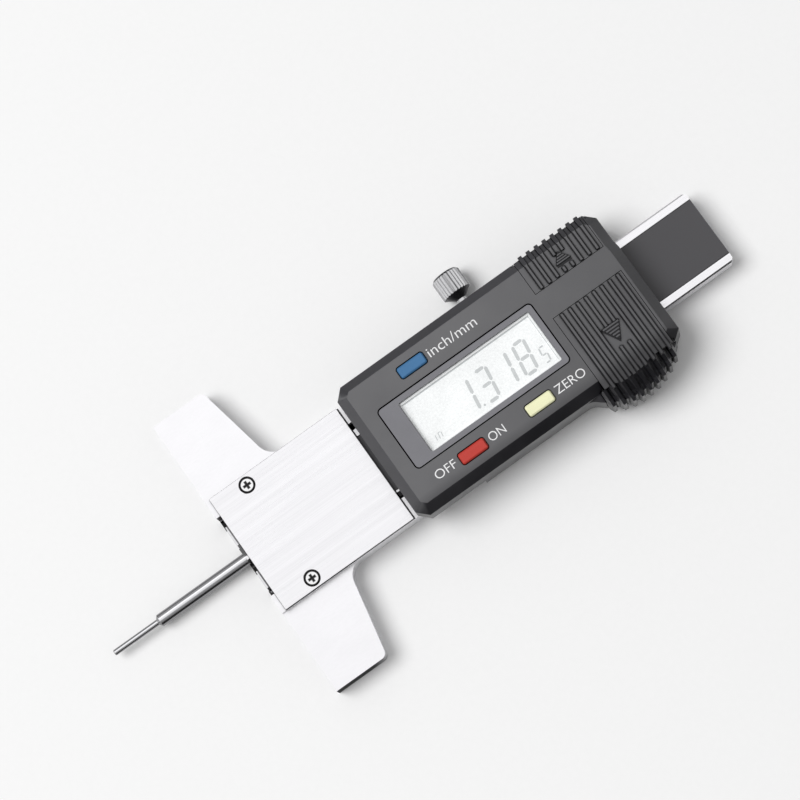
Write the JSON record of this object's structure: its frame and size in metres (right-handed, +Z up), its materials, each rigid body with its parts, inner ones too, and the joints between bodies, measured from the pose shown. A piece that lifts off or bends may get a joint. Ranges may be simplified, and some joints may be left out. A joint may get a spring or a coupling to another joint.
{
  "type": "digital tread depth gauge",
  "caption": "Digital tyre tread depth gauge with a T-shaped steel foot, a needle probe on a sliding beam, a ribbed dark housing, a display, push buttons and a thumb screw.",
  "frame": {"origin": "where the probe's axis crosses the plane of the foot's measuring face", "axes": "+X along the beam, away from the probe's point; +Y to the side of the lock screw; +Z up, out of the display, as the gauge lies on its back"},
  "size_m": [0.1371, 0.061, 0.0125],
  "materials": {
    "satin_steel": "fine satin, near white",
    "ground_steel": "ground and brushed along the beam",
    "polished_steel": "polished",
    "screw_steel": "bright, knurled or turned",
    "dark_screws": "blackened steel",
    "housing_plastic": "fine moulded texture, dark grey",
    "bezel_plastic": "smooth grey",
    "clear_window": "clear and flat",
    "lcd_glass": "pale display behind the window",
    "soft_rubber": "soft, matte",
    "board_laminate": "green solder mask",
    "chip_resin": "black resin",
    "cell_steel": "bright can",
    "brass_parts": "plain brass",
    "scale_film": "dark grey printed film",
    "blue_plastic": "blue",
    "red_plastic": "red",
    "yellow_plastic": "pale yellow"
  },
  "bodies": {
    "frame_and_housing": {"base_foot": "satin_steel", "cover_plate": "ground_steel", "cover_plate_screws": "screw_steel", "gib_strip": "brass_parts", "gib_screws": "dark_screws", "stop_screw": "dark_screws", "front_housing": "housing_plastic", "housing_screws": "dark_screws", "display_bezel": "bezel_plastic", "display_window": "clear_window", "lcd_panel": "lcd_glass", "lcd_connectors": "soft_rubber", "circuit_board": "board_laminate", "driver_chip": "chip_resin", "switch_domes": "soft_rubber", "button_cell": "cell_steel", "battery_negative_contact": "brass_parts", "battery_positive_contact": "brass_parts", "data_port_pins": "brass_parts"},
    "beam_and_probe": {"beam": "ground_steel", "scale_strip": "scale_film", "probe_rod": "polished_steel", "probe_holder": "satin_steel", "holder_pin": "satin_steel"},
    "lock_pad_body": {"lock_pad": "brass_parts"},
    "lock_screw_body": {"lock_screw": "screw_steel"},
    "unit_button_body": {"unit_button": "blue_plastic"},
    "power_button_body": {"power_button": "red_plastic"},
    "zero_button_body": {"zero_button": "yellow_plastic"},
    "battery_cover_body": {"battery_cover": "housing_plastic"},
    "data_port_cover_body": {"data_port_cover": "housing_plastic"}
  },
  "joints": [
    {"name": "beam_slide", "type": "slide", "parent": "frame_and_housing", "child": "beam_and_probe", "axis": [1, 0, 0], "range_m": [0, 0.0302]},
    {"name": "lock_travel", "type": "slide", "parent": "frame_and_housing", "child": "lock_pad_body", "axis": [0, 1, 0], "range_m": [0, 0.00045]},
    {"name": "lock_turn", "type": "hinge", "parent": "lock_pad_body", "child": "lock_screw_body", "pos_m": [0.0614, 0.0179, 0.0006], "axis": [0, 1, 0], "range_deg": [0, 360]},
    {"name": "unit_button_press", "type": "slide", "parent": "frame_and_housing", "child": "unit_button_body", "axis": [0, 0, -1], "range_m": [0, 0.0004], "stiffness_N_per_m": 3000, "springref_m": -0.0001},
    {"name": "power_button_press", "type": "slide", "parent": "frame_and_housing", "child": "power_button_body", "axis": [0, 0, -1], "range_m": [0, 0.0004], "stiffness_N_per_m": 3000, "springref_m": -0.0001},
    {"name": "zero_button_press", "type": "slide", "parent": "frame_and_housing", "child": "zero_button_body", "axis": [0, 0, -1], "range_m": [0, 0.0004], "stiffness_N_per_m": 3000, "springref_m": -0.0001},
    {"name": "battery_cover_slide", "type": "slide", "parent": "frame_and_housing", "child": "battery_cover_body", "axis": [0, -1, 0], "range_m": [0, 0.02]},
    {"name": "data_port_cover_slide", "type": "slide", "parent": "frame_and_housing", "child": "data_port_cover_body", "axis": [0, 1, 0], "range_m": [0, 0.009]}
  ],
  "couplings": [
    {"joint": "lock_turn", "follows": "lock_travel", "rad_per_m": 13963}
  ]
}
